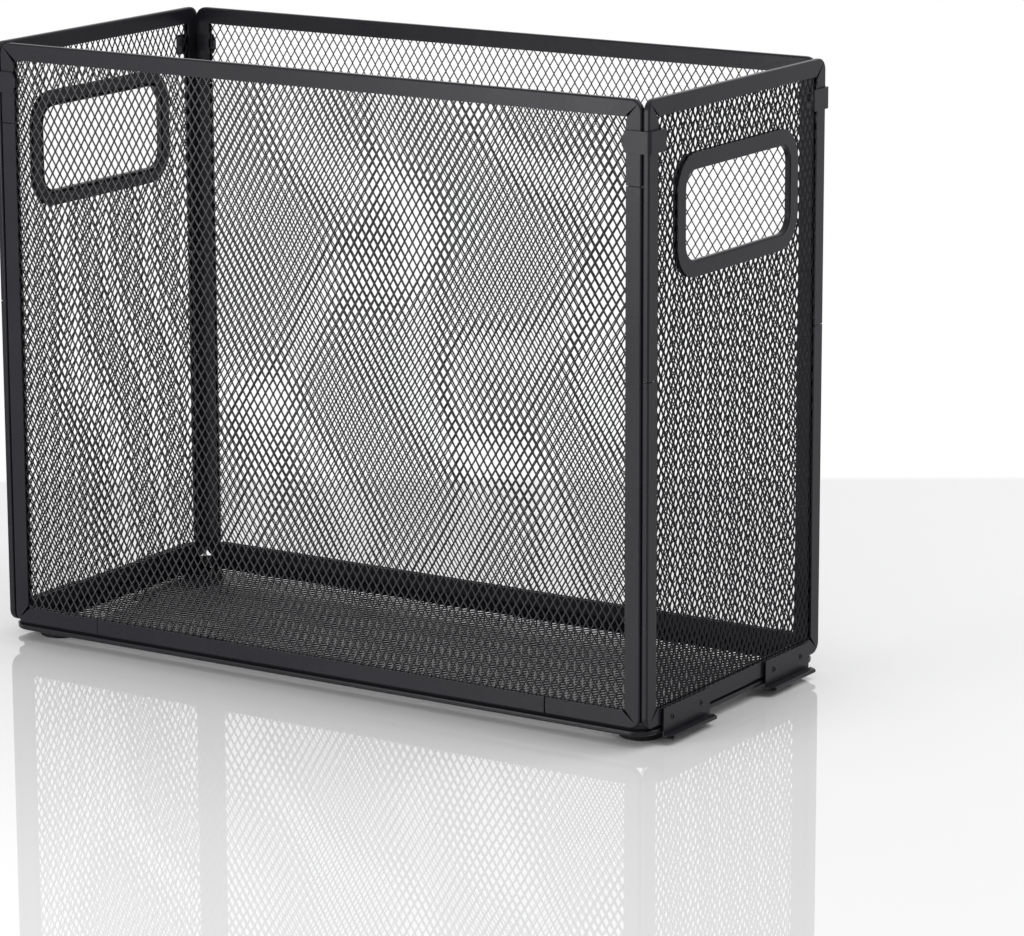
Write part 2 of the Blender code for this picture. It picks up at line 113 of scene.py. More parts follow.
# Hand hole
hand_hole_length = 0.0835
hand_hole_height = 0.0375
hand_hole_radius = 0.0080
hand_hole_below_top = 0.0308
hand_hole_centre = wall_height - hand_hole_below_top - hand_hole_height / 2
ring_width = 0.0060
ring_sheet = 0.0006
ring_front = 0.0001
ring_back = 0.0026
ring_roll = 0.00016
ring_lip = 0.0003
ring_lip_round = 0.7
ring_collar = 0.0007
ring_cover = 0.53
backing_clearance = 0.0003
backing_front = 0.0021
backing_sheet = 0.0005

# Straps
strap_height = 0.0088
strap_sheet = 0.0008
strap_below_top = 0.0120
strap_front_arm = 0.0119
strap_side_arm = 0.0116
strap_stand_off = 0.0003
strap_bend = 0.0012
strap_end_bend = 0.0005
strap_hook = 0.0022
strap_taper = 0.0016
strap_front_end = 0.42
strap_side_end = 0.80

# Catches and rivets
catch_length = 0.0364
catch_from_edge = 0.0291
catch_stand_off = 0.0003
catch_sheet = 0.0006
catch_hem_gap = 0.0006
catch_hem_round = 0.46
catch_plate_sheet = 0.0010
catch_bend = 0.0012
catch_lip_low = 0.0054
catch_lip_reach = 0.0043
catch_hem_back = 0.0028
catch_corner = 0.0016
rivet_spacing = 0.0226
rivet_height = 0.0023
rivet_radius = 0.0013
# Share of the rivet's radius within which the dish is painted dark: painted shade
rivet_shade_share = 0.55
rivet_sides = 20
# Share of the radius and distance in from the plate's face, from the edge to the middle of the dish
rivet_profile = ((1.0, 0.0), (1.0, -0.0001), (0.86, -0.00025), (0.62, -0.00027), (0.45, -0.00008),
                 (0.20, 0.00004), (0.0, 0.00006))

# Base and feet
base_face = 0.0094
base_sheet = 0.0005
base_edge_round = 0.0006
base_corner_radius = 0.0090
rim_inset = 0.0011
rim_height = 0.0009
rim_sunk = 0.0002
foot_radius = 0.0090
foot_from_end = 0.0135
foot_from_front = 0.0180
foot_top_gap = 0.0001
foot_sides = 48
# Distance in from the side and height, down the side and into the hollow under the foot
foot_profile = ((0.0, 0.0012), (0.0002, 0.0006), (0.0006, 0.0002), (0.0012, 0.0), (0.0030, 0.0),
                (0.0034, 0.0004), (foot_radius, 0.0004))

# Finishes: where a noise starts and ends, the size of its patterns and the depth of its relief
noise_low, noise_high = 0.3, 0.7
cloud_scale = 38.0
peel_relief = (0.30, 0.00008)
speckle_fineness = 3.1
speckle_relief = (0.20, 0.00003)
rubber_cloud_scale = 120.0
rubber_grain_scale = 2600.0
rubber_relief = (0.35, 0.00006)

quarter_turn = math.pi / 2
hair = 0.00001
square_on = 0.9995
facing = 0.99


def principled(name, roughness, gloss=0.5):
    """Returns a material's nodes, links and shader."""
    finish = bpy.data.materials.new(name)
    finish.use_nodes = True
    nodes, links = finish.node_tree.nodes, finish.node_tree.links
    shader = nodes["Principled BSDF"]
    shader.inputs["Roughness"].default_value = roughness
    shader.inputs["Specular IOR Level"].default_value = gloss
    return finish, nodes, links, shader


def noise(nodes, links, source, scale, detail, roughness=0.5):
    """Adds a noise pattern on Object coordinates."""
    pattern = nodes.new("ShaderNodeTexNoise")
    pattern.inputs["Scale"].default_value = scale
    pattern.inputs["Detail"].default_value = detail
    pattern.inputs["Roughness"].default_value = roughness
    links.new(source, pattern.inputs["Vector"])
    return pattern.outputs["Fac"]


def ramp(nodes, links, source, stops):
    """Adds a colour ramp over a value."""
    band = nodes.new("ShaderNodeValToRGB")
    for index, (place, colour) in enumerate(stops):
        stop = band.color_ramp.elements[index] if index < 2 else band.color_ramp.elements.new(place)
        stop.position = place
        stop.color = (*colour, 1.0)
    links.new(source, band.inputs["Fac"])
    return band.outputs["Color"]


def spread(nodes, links, source, low, high):
    """Maps a 0 to 1 value to a range."""
    mapped = nodes.new("ShaderNodeMapRange")
    mapped.inputs["From Min"].default_value = noise_low
    mapped.inputs["From Max"].default_value = noise_high
    mapped.inputs["To Min"].default_value = low
    mapped.inputs["To Max"].default_value = high
    links.new(source, mapped.inputs["Value"])
    return mapped.outputs["Result"]


def bump(nodes, links, height, strength, distance, normal=None):
    """Adds a bump over a height."""
    relief = nodes.new("ShaderNodeBump")
    relief.inputs["Strength"].default_value = strength
    relief.inputs["Distance"].default_value = distance
    links.new(height, relief.inputs["Height"])
    if normal is not None:
        links.new(normal, relief.inputs["Normal"])
    return relief.outputs["Normal"]


def coat(name, dark, light, rough_low, rough_high, grain, gloss):
    """Satin black powder coat: a fine orange peel over slow changes of gloss and depth."""
    finish, nodes, links, shader = principled(name, rough_low, gloss)
    place = nodes.new("ShaderNodeTexCoord").outputs["Object"]
    clouds = noise(nodes, links, place, cloud_scale, 3.0)
    peel = noise(nodes, links, place, grain, 2.0, 0.55)
    speckle = noise(nodes, links, place, grain * speckle_fineness, 1.0)
    links.new(ramp(nodes, links, clouds, ((noise_low, dark), (noise_high, light))),
              shader.inputs["Base Color"])
    links.new(spread(nodes, links, clouds, rough_low, rough_high), shader.inputs["Roughness"])
    soft = bump(nodes, links, peel, *peel_relief)
    links.new(bump(nodes, links, speckle, *speckle_relief, soft), shader.inputs["Normal"])
    return finish


def rubber(name, dark, light, rough_low, rough_high, gloss):
    """Matt black rubber with a fine moulded grain."""
    finish, nodes, links, shader = principled(name, rough_low, gloss)
    place = nodes.new("ShaderNodeTexCoord").outputs["Object"]
    clouds = noise(nodes, links, place, rubber_cloud_scale, 3.0)
    grain = noise(nodes, links, place, rubber_grain_scale, 2.0)
    links.new(ramp(nodes, links, clouds, ((noise_low, dark), (noise_high, light))),
              shader.inputs["Base Color"])
    links.new(spread(nodes, links, clouds, rough_low, rough_high), shader.inputs["Roughness"])
    links.new(bump(nodes, links, grain, *rubber_relief), shader.inputs["Normal"])
    return finish


powder_coat = coat("satin_powder_coat", (0.011, 0.0106, 0.0142), (0.014, 0.0135, 0.0172), 0.24, 0.32, 900.0,
                   0.15)
mesh_coat = coat("mesh_powder_coat", (0.009, 0.0088, 0.0112), (0.012, 0.0117, 0.0142), 0.26, 0.36, 1500.0,
                 0.15)
# A darker copy of the frame coat for the base frame: painted shade.
base_frame_shade_coat = coat("base_frame_painted_shade_coat", (0.008, 0.0078, 0.0098), (0.010, 0.0098, 0.0120), 0.22, 0.30, 900.0,
                 0.18)
# A near-black, duller copy for the base frame's upper side and its rim: painted shade.
base_top_shade_coat = coat("base_top_painted_shade_coat", (0.005, 0.0049, 0.0060), (0.007, 0.0068, 0.0082), 0.50, 0.60,
                     900.0, 0.03)
# A darker copy of the mesh coat for the base's net: painted shade on the floor of the basket.
base_net_shade_coat = coat("base_mesh_painted_shade_coat", (0.005, 0.0049, 0.0064), (0.007, 0.0068, 0.0086), 0.14,
                     0.20, 500.0, 0.28)
# A lighter, glossier copy of the mesh coat: painted light.
lit_net_coat = coat("lit_mesh_painted_light_coat", (0.010, 0.0098, 0.0122), (0.013, 0.0127, 0.0152), 0.22,
                      0.32, 1500.0, 0.22)
# Near-black coat for the rivets' dishes: painted shade in the hollows.
rivet_dish_shade_coat = coat("rivet_dish_painted_shade_coat", (0.003, 0.003, 0.003), (0.004, 0.004, 0.004), 0.50, 0.60, 900.0,
                   0.03)
# The front and left nets take the lit copy of the mesh coat, as painted light.
net_coats = {"front": lit_net_coat, "back": mesh_coat, "left": lit_net_coat, "right": mesh_coat}
foot_rubber = rubber("foot_rubber_matt", (0.010, 0.010, 0.011), (0.016, 0.016, 0.017), 0.68, 0.82, 0.15)


def add_piece(name, bm, finish, body, nodes, place=None, sheet=0.0, soften=0.0,
              smooth=sharp_angle):
    """Adds a piece that rides on a body and stands for its CAD nodes. Its flat faces are shaded flat."""
    bm.normal_update()
    for part in bm.faces:
        part.smooth = max(abs(share) for share in part.normal) < square_on
    if place is not None:
        bmesh.ops.transform(bm, matrix=place, verts=bm.verts)
    mesh = bpy.data.meshes.new(name)
    bm.to_mesh(mesh)
    bm.free()
    mesh.materials.append(finish)
    piece = bpy.data.objects.new(name, mesh)
    bpy.context.collection.objects.link(piece)
    if sheet:
        thicken = piece.modifiers.new("sheet", "SOLIDIFY")
        thicken.thickness = sheet
        thicken.offset = -1.0
        thicken.use_even_offset = True
    if soften:
        edges = piece.modifiers.new("soft_edges", "BEVEL")
        edges.width = soften
        edges.segments = soften_segments
        edges.limit_method = "ANGLE"
        edges.angle_limit = math.radians(smooth)
        edges.harden_normals = True
    if not soften:
        mesh.set_sharp_from_angle(angle=math.radians(smooth))
    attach(piece, body)
    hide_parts(*nodes)
    return piece


def grown_verts(grown):
    """The new corners of an extrusion."""
    return [item for item in grown["geom"] if isinstance(item, bmesh.types.BMVert)]


def upright_plate(length, height, radius, low=0.0):
    """An upright flat face with round corners, facing -Y, its lower edge at the given height."""
    bm = bmesh.new()
    bmesh.ops.create_grid(bm, x_segments=1, y_segments=1, size=0.5)
    bmesh.ops.scale(bm, vec=(length, height, 1.0), verts=bm.verts)
    bmesh.ops.bevel(bm, geom=bm.verts[:], offset=radius, offset_type="OFFSET", affect="VERTICES",
                    segments=corner_segments, profile=0.5, material=-1)
    bmesh.ops.rotate(bm, matrix=Matrix.Rotation(quarter_turn, 3, "X"), cent=(0, 0, 0), verts=bm.verts)
    bmesh.ops.translate(bm, vec=(0.0, 0.0, low + height / 2), verts=bm.verts)
    return bm


def gather(bm, centre, reach):
    """Draws the corners near a flat point together into it, on both faces."""
    for depth in sorted({round(vert.co.y, 6) for vert in bm.verts}):
        near = [vert for vert in bm.verts if abs(vert.co.y - depth) < hair
                and (Vector((vert.co.x, vert.co.z)) - centre).length < reach]
        if len(near) > 1:
            bmesh.ops.pointmerge(bm, verts=near, merge_co=(centre.x, depth, centre.y))


def folded_sheet(length, height, face, thickness, edge_round, radius):
    """A sheet folded round the edge of a panel, before it is cut into strips and given thickness."""
    bm = upright_plate(length, height, radius)
    rim = grown_verts(bmesh.ops.extrude_face_region(bm, geom=bm.faces[:]))
    bmesh.ops.translate(bm, vec=(0.0, thickness, 0.0), verts=rim)
    bmesh.ops.recalc_face_normals(bm, faces=bm.faces)
    edges = [edge for edge in bm.edges if abs(edge.verts[0].co.y - edge.verts[1].co.y) < hair]
    bmesh.ops.bevel(bm, geom=edges, offset=edge_round, offset_type="OFFSET", affect="EDGES",
                    segments=edge_segments, profile=0.5, material=-1)

    def caps():
        return [item for item in bm.faces if item.calc_area() > length * height / 2]

    first = radius - edge_round - hair * 4
    bmesh.ops.inset_region(bm, faces=caps(), thickness=first, use_even_offset=True)
    middle = height / 2
    for side_x in (-1, 1):
        for side_z in (-1, 1):
            centre = Vector((side_x * (length / 2 - radius), middle + side_z * (middle - radius)))
            gather(bm, centre, hair * 20)
    bmesh.ops.inset_region(bm, faces=caps(), thickness=face - radius, use_even_offset=True)
    bmesh.ops.delete(bm, geom=caps(), context="FACES")
    bmesh.ops.recalc_face_normals(bm, faces=bm.faces)
    if bm.calc_volume(signed=True) < 0:
        bmesh.ops.reverse_faces(bm, faces=bm.faces[:])
    return bm


def cut_notch(bm, corner, inward, length, width, reach):
    """Cuts a tapering mitre notch into the outer face at a corner of the sheet."""
    along = Vector((inward[0], 0.0, inward[1])).normalized()
    across = Vector((-along.z, 0.0, along.x))
    mouth = Vector((corner[0], 0.0, corner[1])) + along * reach * math.sqrt(2)
    tip = mouth - along * length
    half_angle = math.atan2(width / 2, length)
    near = Vector((corner[0], 0.0, corner[1]))

    def flat_faces():
        return [face for face in bm.faces if face.normal.y < -facing
                and any((Vector((vert.co.x, 0.0, vert.co.z)) - near).length < reach * notch_margin
                        for vert in face.verts)]

    for side in (-1, 1):
        normal = Matrix.Rotation(side * half_angle, 3, "Y") @ across
        faces = flat_faces()
        geom = list({item for face in faces for item in (*face.verts, *face.edges, face)})
        bmesh.ops.bisect_plane(bm, geom=geom, dist=hair / 10, plane_co=tip, plane_no=normal)
    gone = []
    for face in flat_faces():
        offset = face.calc_center_median() - tip
        forward = offset.dot(along)
        if forward > 0 and abs(offset.dot(across)) < forward * math.tan(half_angle):
            gone.append(face)
    bmesh.ops.delete(bm, geom=gone, context="FACES")


def cut_off(bm, point, outward):
    """Cuts away what lies beyond a plane."""
    bmesh.ops.bisect_plane(bm, geom=bm.verts[:] + bm.edges[:] + bm.faces[:], dist=hair / 10,
                           plane_co=point, plane_no=outward, clear_outer=True)


def strip(sheet_bm, cuts):
    """A copy of a folded sheet between cutting planes."""
    bm = sheet_bm.copy()
    for point, outward in cuts:
        cut_off(bm, point, outward)
    return bm


def wall_sheet(length):
    """The folded sheet of a wall with its four mitre notches."""
    bm = folded_sheet(length, wall_height, channel_face, channel_thickness, channel_edge_round,
                      frame_corner_radius)
    for side in (-1, 1):
        cut_notch(bm, (side * length / 2, wall_height), (-side, -1), top_notch_length,
                  top_notch_width, channel_face)
        cut_notch(bm, (side * length / 2, 0.0), (-side, 1), foot_notch_length,
                  foot_notch_width, channel_face)
    return bm


def repeat(bm, step, count):
    """Repeats everything in a mesh along a step."""
    pattern = bm.verts[:] + bm.edges[:] + bm.faces[:]
    for index in range(1, count):
        copied = grown_verts(bmesh.ops.duplicate(bm, geom=pattern))
        bmesh.ops.translate(bm, vec=Vector(step) * index, verts=copied)


def diamond(bm, strand_width, tilt, bond_width):
    """Half of the strands round one opening, which is pointed above and below and blunt at its sides.

    The outline runs on the middle lines of the strands. Tilt turns each strand about its length.
    """
    half_width, half_height = diamond_width / 2, diamond_height / 2
    side_length = math.hypot(half_width, half_height)
    tip = (half_height - strand_width / 2 * side_length / half_width) * tip_share
    corner = half_width - strand_width / 2 * side_length / half_height
    side = half_width - bond_width / 2
    ring = bmesh.ops.create_circle(bm, cap_ends=True, radius=1.0, segments=6)["verts"]
    bmesh.ops.scale(bm, vec=(half_width / math.cos(math.pi / 6), half_height, 1.0), verts=ring)
    bmesh.ops.rotate(bm, matrix=Matrix.Rotation(quarter_turn, 3, "X"), cent=(0, 0, 0), verts=ring)
    bmesh.ops.inset_individual(bm, faces=bm.faces[:], thickness=strand_width / 2, use_even_offset=True)
    outline = set(ring)
    middle = [face for face in bm.faces if not outline & set(face.verts)]
    bmesh.ops.delete(bm, geom=middle, context="FACES_ONLY")
    for vert in bm.verts:
        if vert in outline:
            vert.co.y = -strand_crown
        elif abs(vert.co.x) < hair:
            vert.co.z = math.copysign(tip, vert.co.z)
        else:
            vert.co.x = math.copysign(side, vert.co.x)
            vert.co.z = math.copysign(tip * (1 - side / corner), vert.co.z)
            vert.co.y = tilt * math.copysign(1.0, vert.co.x)
    pairs = [(sign, [vert for vert in ring if vert.co.x * sign > hair]) for sign in (-1, 1)]
    for sign, pair in pairs:
        bmesh.ops.pointmerge(bm, verts=pair, merge_co=(sign * half_width, -strand_crown, 0.0))


def join(bm, other):
    """Adds another mesh to a mesh and frees it."""
    data = bpy.data.meshes.new("joined")
    other.to_mesh(data)
    other.free()
    bm.from_mesh(data)
    bpy.data.meshes.remove(data)


def expanded_metal(panel, hole=None):
    """A sheet of diamonds centred on X and Z."""
    columns, rows, scale, strand_width, strand_thickness, tilt, bond_width, phase = nets[panel]
    bm = bmesh.new()
    diamond(bm, strand_width / scale, tilt, bond_width / scale)
    between = bm.copy()
    bmesh.ops.translate(between, vec=(diamond_width / 2, 0.0, diamond_height / 2), verts=between.verts)
    for part, part_columns, part_rows in ((bm, columns, rows), (between, columns - 1, rows - 1)):
        repeat(part, (diamond_width, 0.0, 0.0), part_columns)
        repeat(part, (0.0, 0.0, diamond_height), part_rows)
    join(bm, between)
    bmesh.ops.translate(bm, vec=((1 - columns) * diamond_width / 2, 0.0, (1 - rows) * diamond_height / 2),
                        verts=bm.verts)
    bmesh.ops.scale(bm, vec=(scale, 1.0, scale), verts=bm.verts)
    if hole is not None:
        centre, half_x, half_z, radius = hole
        gone = [face for face in bm.faces
                if in_round_hole(face.calc_center_median() - centre, half_x, half_z, radius)]
        bmesh.ops.delete(bm, geom=gone, context="FACES")
    bmesh.ops.remove_doubles(bm, verts=bm.verts, dist=hair * 2)
    stretch(bm, phase)
    back = grown_verts(bmesh.ops.extrude_face_region(bm, geom=bm.faces[:]))
    crown = [vert for vert in back if abs(vert.co.y + strand_crown) < hair / 10]
    bmesh.ops.translate(bm, vec=(0.0, strand_thickness, 0.0), verts=back)
    bmesh.ops.translate(bm, vec=(0.0, 2 * strand_crown, 0.0), verts=crown)
    bmesh.ops.translate(bm, vec=(0.0, -strand_thickness / 2, 0.0), verts=bm.verts)
    bmesh.ops.recalc_face_normals(bm, faces=bm.faces)
    return bm


def warp(waves, along, up, phase):
    """How far a sheet is drawn out at a place."""
    return sheet_warp * sum(share * math.sin(per_along * along + per_up * up + turn * phase)
                            for share, per_along, per_up, turn in waves)


def stretch(bm, phase):
    """Draws a sheet of diamonds out unevenly, as the slitting press does."""
    for vert in bm.verts:
        along, up = vert.co.x, vert.co.z
        vert.co.x += warp(warp_along, along, up, phase)
        vert.co.z += warp(warp_up, along, up, phase)


def in_round_hole(offset, half_x, half_z, radius):
    """Says whether an offset lies inside a rectangle with round corners."""
    over_x = max(0.0, abs(offset.x) - (half_x - radius))
    over_z = max(0.0, abs(offset.z) - (half_z - radius))
    return math.hypot(over_x, over_z) < radius


def wall_place(side):
    """The matrix that carries a wall's own frame to its side of the basket."""
    turn, location = {
        "front": (0.0, (0.0, -basket_depth / 2, wall_bottom)),
        "back": (math.pi, (0.0, basket_depth / 2, wall_bottom)),
        "right": (quarter_turn, (basket_length / 2, 0.0, wall_bottom)),
        "left": (-quarter_turn, (-basket_length / 2, 0.0, wall_bottom)),
    }[side]
    return Matrix.Translation(location) @ Matrix.Rotation(turn, 4, "Z")


def add_coat(name, bm, body, nodes, place=None, sheet=channel_sheet, soften=rim_soften):
    """Adds a powder-coated piece."""
    return add_piece(name, bm, powder_coat, body, nodes, place, sheet, soften)


def add_net(side, bm, place):
    """Adds a wall's panel of expanded metal, centred in its frame."""
    bmesh.ops.translate(bm, vec=(0.0, panel_depth, wall_height / 2), verts=bm.verts)
    add_piece(side + "_mesh_panel", bm, net_coats[side], "walls", [side + "_mesh"], place,
              smooth=net_sharp_angle)


def long_wall(side, sheet_bm, net_bm):
    """A long wall: three-sided top strip, two corner strips, bottom strip and mesh."""
    place = wall_place(side)
    half = long_wall_length / 2
    seam = wall_height - long_wall_leg
    foot = half - long_wall_foot
    left, right = ("left", "right") if side == "front" else ("right", "left")
    up, down = Vector((0, 0, 1)), Vector((0, 0, -1))
    add_coat(side + "_top_strip", strip(sheet_bm, [((0, 0, seam), down)]), "walls",
             [side + "_frame_top"], place)
    for sign, hand in ((-1, left), (1, right)):
        cuts = [((0, 0, seam - seam_gap), up), ((sign * foot, 0, 0), Vector((-sign, 0, 0)))]
        add_coat(side + "_corner_strip_" + hand, strip(sheet_bm, cuts), "walls",
                 [side + "_frame_" + hand], place)
    cuts = [((0, 0, wall_height / 2), up)]
    cuts += [((sign * (foot - foot_seam_gaps[sign]), 0, 0), Vector((sign, 0, 0))) for sign in (-1, 1)]
    add_coat(side + "_bottom_strip", strip(sheet_bm, cuts), "walls", [side + "_frame_bottom"], place)
    add_net(side, net_bm, place)


def end_wall(side, sheet_bm, net_bm):
    """An end wall: upper and lower strips, mesh, handle and catches."""
    place = wall_place(side)
    seam = wall_height - end_wall_leg
    up, down = Vector((0, 0, 1)), Vector((0, 0, -1))
    add_coat(side + "_top_strip", strip(sheet_bm, [((0, 0, seam), down)]), "walls",
             [side + "_frame_top"], place)
    add_coat(side + "_bottom_strip", strip(sheet_bm, [((0, 0, seam - seam_gap), up)]), "walls",
             [side + "_frame_bottom"], place)
    add_net(side, net_bm, place)
    add_coat(side + "_hand_ring", hand_ring(), "walls", [side + "_handle_ring"], place, ring_sheet)
    add_coat(side + "_hand_backing", hand_backing(), "walls", [side + "_handle_backing"], place,
             backing_sheet)
    reach = basket_depth / 2 - catch_from_edge
    for sign in (-1, 1):
        row = "front" if (sign < 0) == (side == "right") else "back"
        label = side + "_" + row
        add_coat("catch_plate_" + label, catch(sign * reach), "walls", ["catch_" + label], place,
                 catch_sheet)
        for letter, offset in (("a", -rivet_spacing / 2), ("b", rivet_spacing / 2)):
            head = add_coat("rivet_head_" + label + "_" + letter, rivet(sign * reach + offset), "walls",
                            ["rivet_" + label + "_" + letter], place, sheet=0.0, soften=0.0)
            # The second coat paints shade into the rivet's dish.
            head.data.materials.append(rivet_dish_shade_coat)


def hand_hole_plate(margin):
    """An upright face as large as the hand hole and a margin round it."""
    height = hand_hole_height + 2 * margin
    return upright_plate(hand_hole_length + 2 * margin, height, hand_hole_radius + margin,
                         hand_hole_centre - height / 2)


def open_ring(bm, width):
    """Insets a plate's only face and opens its middle. Returns the outer and inner edges."""
    outer = bm.edges[:]
    middle = bm.faces[:]
    bmesh.ops.inset_region(bm, faces=middle, thickness=width, use_even_offset=True,
                           use_boundary=True)
    inner = [edge for face in middle for edge in face.edges]
    bmesh.ops.delete(bm, geom=middle, context="FACES_ONLY")
    return outer, inner


def extrude_back(bm, edges, distance):
    """Turns a rim of edges back by a distance."""
    grown = grown_verts(bmesh.ops.extrude_edge_only(bm, edges=edges))
    bmesh.ops.translate(bm, vec=(0.0, distance, 0.0), verts=grown)


def hand_ring():
    """The flat outer ring with its turned edge and the collar through the hand hole."""
    bm = hand_hole_plate(ring_width)
    outer, inner = open_ring(bm, ring_width)
    extrude_back(bm, inner, ring_back - ring_front)
    extrude_back(bm, outer, ring_lip)
    bmesh.ops.bevel(bm, geom=inner, offset=ring_roll, offset_type="OFFSET", affect="EDGES",
                    segments=edge_segments, profile=0.5, material=-1)
    bmesh.ops.bevel(bm, geom=[edge for edge in outer if edge.is_valid], offset=ring_lip * ring_lip_round,
                    offset_type="OFFSET", affect="EDGES", segments=soften_segments, profile=0.5,
                    material=-1)
    bmesh.ops.recalc_face_normals(bm, faces=bm.faces)
    face_out(bm)
    bmesh.ops.translate(bm, vec=(0.0, ring_front, 0.0), verts=bm.verts)
    return bm


def face_out(bm):
    """Turns a sheet so that its widest face looks out of the wall."""
    widest = max(bm.faces, key=lambda face: face.calc_area())
    if widest.normal.y > 0:
        bmesh.ops.reverse_faces(bm, faces=bm.faces[:])


def hand_backing():
    """The flat ring behind the mesh, its face to the inside."""
    bm = hand_hole_plate(ring_width)
    open_ring(bm, ring_width - ring_collar - backing_clearance)
    bmesh.ops.translate(bm, vec=(0.0, backing_front, 0.0), verts=bm.verts)
    face_out(bm)
    return bm


def catch(place):
    """A catch: a plate down the wall's lower channel, bent out into a hemmed finger lip."""
    face = catch_stand_off + catch_plate_sheet
    lip = catch_lip_low - catch_sheet
    tip = face + catch_lip_reach - catch_sheet
    back = tip - catch_hem_back
    profile = [(face, channel_face), (face, -lip), (tip, -lip), (tip, catch_hem_gap - lip),
               (back, catch_hem_gap - lip)]
    bm = bmesh.new()
    verts = [bm.verts.new((place - catch_length / 2, -outward, height)) for outward, height in profile]
    edges = [bm.edges.new(pair) for pair in zip(verts, verts[1:])]
    hem_round = catch_hem_gap * catch_hem_round
    for corner, offset in ((1, catch_bend), (2, hem_round), (3, hem_round)):
        bmesh.ops.bevel(bm, geom=[verts[corner]], offset=offset, offset_type="OFFSET", affect="VERTICES",
                        segments=edge_segments, profile=0.5, material=-1)
    across = grown_verts(bmesh.ops.extrude_edge_only(bm, edges=bm.edges[:]))
    bmesh.ops.translate(bm, vec=(catch_length, 0.0, 0.0), verts=across)
    for vert in bm.verts:
        share = max(0.0, (-vert.co.y - face) / (tip - face))
        vert.co.x -= math.copysign(catch_corner * share ** 2, vert.co.x - place)
    bmesh.ops.recalc_face_normals(bm, faces=bm.faces)
    face_out(bm)
    return bm


def rivet(place):
    """A low dished rivet head, its dish painted dark as painted shade."""
    face = -(catch_stand_off + catch_plate_sheet)
    profile = [(rivet_radius * share, height) for share, height in rivet_profile]
    bm = turned(profile, rivet_sides, Vector((0.0, 1.0, 0.0)))
    # Painted shade: the dish takes the second, near-black coat.
    for part in bm.faces:
        centre = part.calc_center_median()
        part.material_index = int(math.hypot(centre.x, centre.z) < rivet_radius * rivet_shade_share)
    bmesh.ops.translate(bm, vec=(place, face, rivet_height), verts=bm.verts)
    return bm


def turned(profile, sides, axis):
    """Spins a profile of (radius, distance along the axis) pairs."""
    bm = bmesh.new()
    verts = [bm.verts.new(Vector((radius, 0.0, 0.0)) + axis * distance) for radius, distance in profile]
    edges = [bm.edges.new(pair) for pair in zip(verts, verts[1:])]
    bmesh.ops.spin(bm, geom=verts + edges, cent=(0.0, 0.0, 0.0), axis=axis, dvec=(0.0, 0.0, 0.0),
                   angle=2 * math.pi, steps=sides, use_merge=True)
    bmesh.ops.remove_doubles(bm, verts=bm.verts, dist=hair / 10)
    bmesh.ops.recalc_face_normals(bm, faces=bm.faces)
    return bm


def strap(side_x, side_y):
    """A strap bent round an upright corner, its ends tapered and folded in through the mesh."""
    face_x, face_y = basket_length / 2, basket_depth / 2
    outer = strap_stand_off + strap_sheet
    front, side = face_x - strap_front_arm, face_y - strap_side_arm
    low = wall_bottom + wall_height - strap_below_top - strap_height
    middle = low + strap_height / 2
    plan = [(front, face_y - strap_hook), (front, face_y + outer), (front + strap_taper, face_y + outer),
            (face_x + outer, face_y + outer), (face_x + outer, side + strap_taper / 2),
            (face_x + outer, side), (face_x - strap_hook, side)]
    bm = bmesh.new()
    verts = [bm.verts.new((x, y, low)) for x, y in plan]
    for pair in zip(verts, verts[1:]):
        bm.edges.new(pair)
    for corner, offset in ((3, strap_bend), (1, strap_end_bend), (5, strap_end_bend)):
        bmesh.ops.bevel(bm, geom=[verts[corner]], offset=offset, offset_type="OFFSET",
                        affect="VERTICES", segments=edge_segments, profile=0.5, material=-1)
    top = grown_verts(bmesh.ops.extrude_edge_only(bm, edges=bm.edges[:]))
    bmesh.ops.translate(bm, vec=(0.0, 0.0, strap_height), verts=top)
    for vert in bm.verts:
        if vert.co.x < front + strap_taper / 2:
            vert.co.z = middle + (vert.co.z - middle) * strap_front_end
        if vert.co.y < side + strap_taper / 4:
            vert.co.z = middle + (vert.co.z - middle) * strap_side_end
    bmesh.ops.scale(bm, vec=(side_x, side_y, 1.0), verts=bm.verts)
    bmesh.ops.recalc_face_normals(bm, faces=bm.faces)
    widest = max(bm.faces, key=lambda face: face.calc_area())
    if widest.normal.dot(Vector((side_x, side_y, 0.0))) < 0:
        bmesh.ops.reverse_faces(bm, faces=bm.faces[:])
    return bm


def gap_rim():
    """The low rim on the base frame that closes the gap under the walls, a dark sheet in the painted shade
    coat that stands for the shade in that gap.
    """
    bm = upright_plate(basket_length - 2 * rim_inset, basket_depth - 2 * rim_inset,
                       base_corner_radius - rim_inset, rim_inset)
    plate = bm.faces[:]
    extrude_back(bm, bm.edges[:], -rim_height - rim_sunk)
    bmesh.ops.delete(bm, geom=plate, context="FACES_ONLY")
    bmesh.ops.translate(bm, vec=(0.0, rim_sunk, 0.0), verts=bm.verts)
    bmesh.ops.recalc_face_normals(bm, faces=bm.faces)
    if any(face.normal.x * face.calc_center_median().x < -hair for face in bm.faces):
        bmesh.ops.reverse_faces(bm, faces=bm.faces[:])
    return bm


